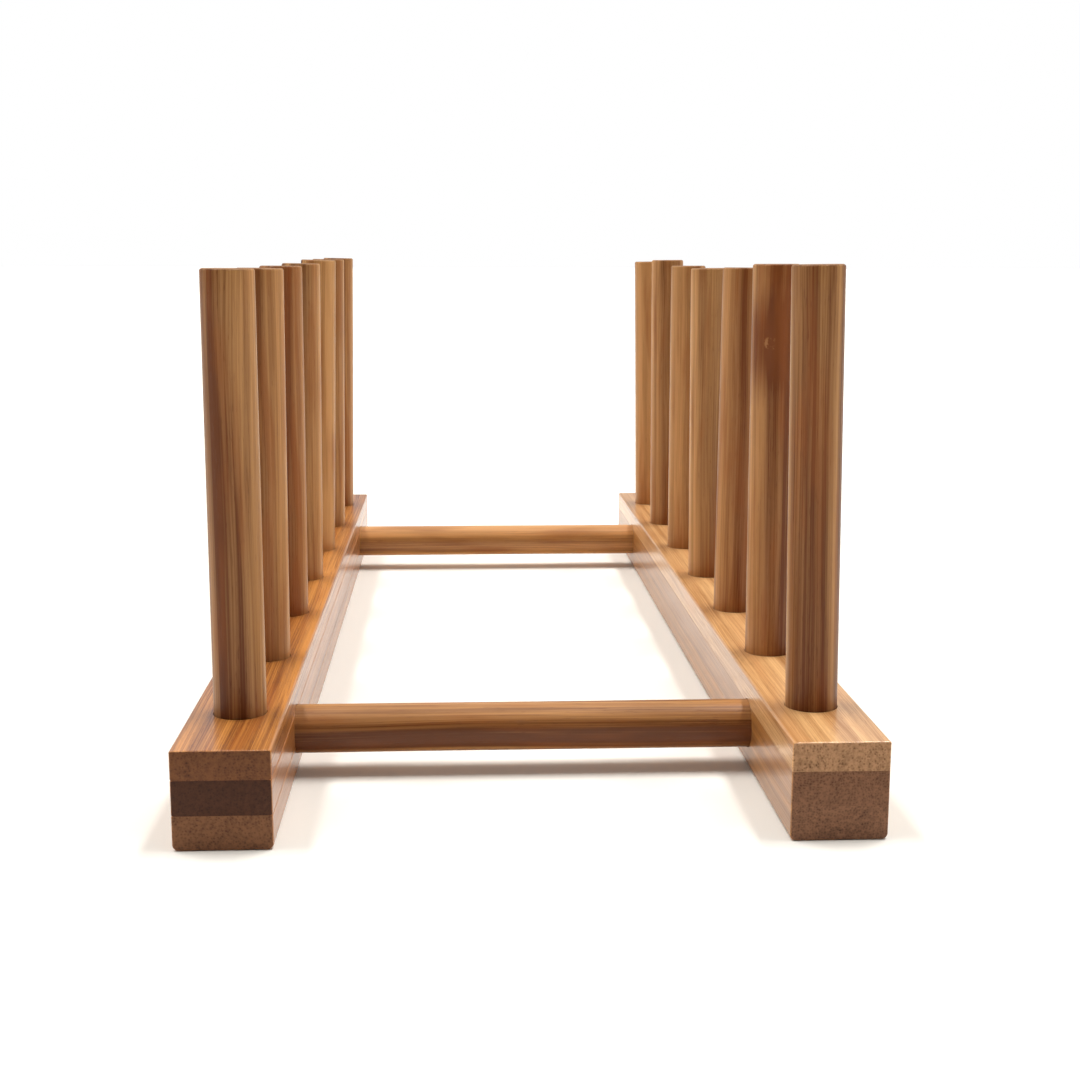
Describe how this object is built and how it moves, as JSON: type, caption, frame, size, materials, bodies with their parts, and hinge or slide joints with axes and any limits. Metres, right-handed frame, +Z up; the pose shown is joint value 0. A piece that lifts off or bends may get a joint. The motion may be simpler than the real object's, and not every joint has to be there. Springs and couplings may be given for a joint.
{
  "type": "plate drying rack",
  "caption": "Free-standing bamboo rack with two laminated rails, rows of upright round pegs and cross dowels, which holds plates on edge to drain.",
  "frame": {"origin": "on the table, under the middle of the rack", "axes": "+Y along the rails, towards the rear cross dowel; +X across the rack, towards the right rail; +Z up, along the pegs"},
  "size_m": [0.1434, 0.34, 0.1158],
  "materials": {
    "bamboo_top_layer": "lacquered, gloss",
    "bamboo_core_layer": "lacquered, gloss",
    "bamboo_base_layer": "lacquered, gloss",
    "bamboo_peg": "lacquered, satin",
    "bamboo_cross_dowel": "lacquered, gloss"
  },
  "bodies": {
    "root": {"left_rail_top_lamina": "bamboo_top_layer", "left_rail_middle_lamina": "bamboo_core_layer", "left_rail_bottom_lamina": "bamboo_base_layer", "right_rail_top_lamina": "bamboo_top_layer", "right_rail_middle_lamina": "bamboo_core_layer", "right_rail_bottom_lamina": "bamboo_base_layer", "left_peg_1": "bamboo_peg", "left_peg_2": "bamboo_peg", "left_peg_3": "bamboo_peg", "left_peg_4": "bamboo_peg", "left_peg_5": "bamboo_peg", "left_peg_6": "bamboo_peg", "left_peg_7": "bamboo_peg", "right_peg_1": "bamboo_peg", "right_peg_2": "bamboo_peg", "right_peg_3": "bamboo_peg", "right_peg_4": "bamboo_peg", "right_peg_5": "bamboo_peg", "right_peg_6": "bamboo_peg", "right_peg_7": "bamboo_peg", "front_cross_dowel": "bamboo_cross_dowel", "rear_cross_dowel": "bamboo_cross_dowel"}
  },
  "joints": []
}
